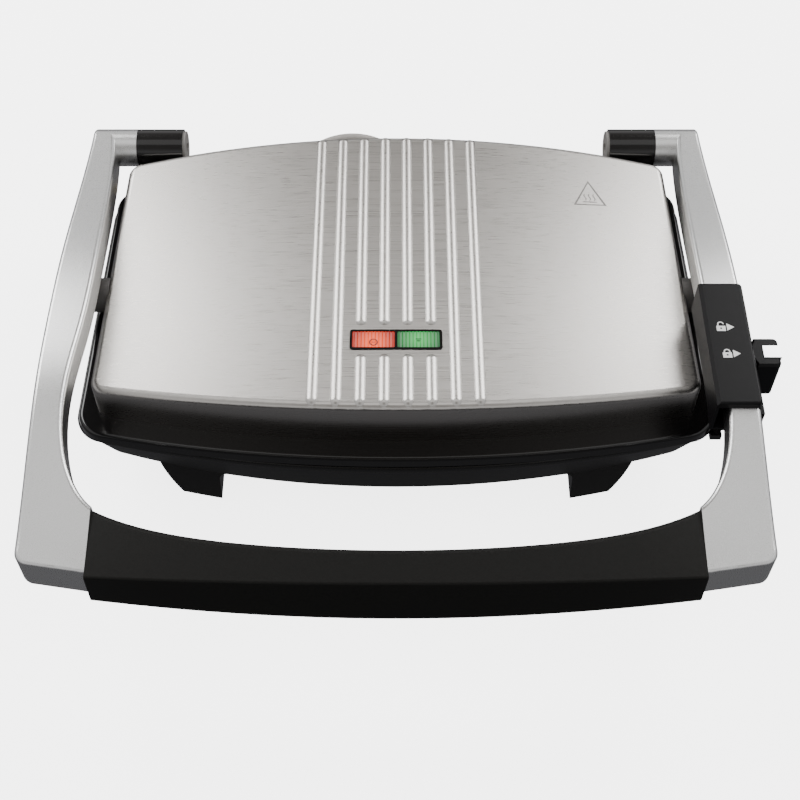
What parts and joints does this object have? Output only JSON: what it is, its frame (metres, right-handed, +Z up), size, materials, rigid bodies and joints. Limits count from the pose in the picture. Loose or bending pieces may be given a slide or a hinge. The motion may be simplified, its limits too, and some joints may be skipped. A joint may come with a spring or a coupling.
{
  "type": "contact grill",
  "caption": "Shut contact grill with a brushed crowned lid, floating heated plates, a hinged U-shaped carrying handle with a sliding lock, and a coiled mains lead",
  "frame": {"origin": "on the table under the middle of the lid, in the plane of symmetry of the grill", "axes": "+Z up, +X to the right as the user faces the grip, +Y to the back"},
  "size_m": [0.3788, 0.3847, 0.1087],
  "materials": {
    "lid_steel": "brushed across, satin",
    "arm_silver": "satin",
    "knob_chrome": "polished",
    "gloss_black": "gloss",
    "satin_black": "satin",
    "housing_black": "satin",
    "grip_black": "fine-grained soft touch",
    "pad_rubber": "matt",
    "nonstick": "satin non-stick coating",
    "element_steel": "oxidised",
    "sheet_steel": "plain sheet",
    "pin_steel": "turned",
    "boss_grey": "satin",
    "cap_grey": "satin",
    "window_dark": "gloss",
    "lens_red": "clear, tinted",
    "lens_green": "clear, tinted",
    "lamp_red": "translucent",
    "lamp_green": "translucent",
    "board_green": "matt",
    "ceramic_white": "glazed",
    "cord_grey": "satin",
    "plug_grey": "satin",
    "blade_brass": "plain"
  },
  "bodies": {
    "base": {"support_legs": "satin_black", "foot_pads": "pad_rubber", "base_tub": "satin_black", "base_rim": "gloss_black", "base_screws": "pin_steel", "hinge_post_right": "gloss_black", "hinge_post_left": "gloss_black", "hinge_pin_right": "pin_steel", "hinge_pin_left": "pin_steel", "hinge_cap_right": "cap_grey", "hinge_cap_left": "cap_grey", "lower_plate": "nonstick", "lower_element": "element_steel", "lower_heat_shield": "sheet_steel", "lower_shield_screws": "pin_steel", "terminal_block": "ceramic_white", "lock_catch": "gloss_black", "strain_relief": "cord_grey", "cord_lead": "cord_grey", "cord_coil": "cord_grey", "cord_tail": "cord_grey", "plug_body": "plug_grey", "plug_blades": "blade_brass"},
    "handle": {"arm_right": "arm_silver", "arm_left": "arm_silver", "grip": "grip_black", "grip_dowels": "pin_steel", "lock_housing": "housing_black"},
    "lid": {"lid_cover": "lid_steel", "lid_bezel": "gloss_black", "upper_plate": "nonstick", "upper_element": "element_steel", "upper_heat_shield": "sheet_steel", "upper_shield_screws": "pin_steel", "lid_screws": "pin_steel", "bracket_screws": "pin_steel", "pivot_bracket_right": "sheet_steel", "pivot_bracket_left": "sheet_steel", "trunnion_pin_right": "pin_steel", "trunnion_pin_left": "pin_steel", "pivot_boss_right": "boss_grey", "pivot_boss_left": "boss_grey", "thermostat": "ceramic_white", "thermal_fuse": "ceramic_white", "window_frame": "window_dark", "power_lens": "lens_red", "ready_lens": "lens_green", "power_lamp": "lamp_red", "ready_lamp": "lamp_green", "lamp_board": "board_green"},
    "lock": {"lock_slider": "housing_black", "lock_accent": "knob_chrome"}
  },
  "joints": [
    {"name": "handle_hinge", "type": "hinge", "parent": "base", "child": "handle", "pos_m": [0, 0.102, 0.0743], "axis": [-1, 0, 0], "range_deg": [0, 95]},
    {"name": "lid_tilt", "type": "hinge", "parent": "handle", "child": "lid", "pos_m": [0, -0.01, 0.072], "axis": [-1, 0, 0], "range_deg": [-6, 0]},
    {"name": "lock_slide", "type": "slide", "parent": "handle", "child": "lock", "axis": [0, 1, 0], "range_m": [0, 0.016]}
  ],
  "couplings": [
    {"joint": "lid_tilt", "follows": "handle_hinge", "ratio": -0.06}
  ]
}
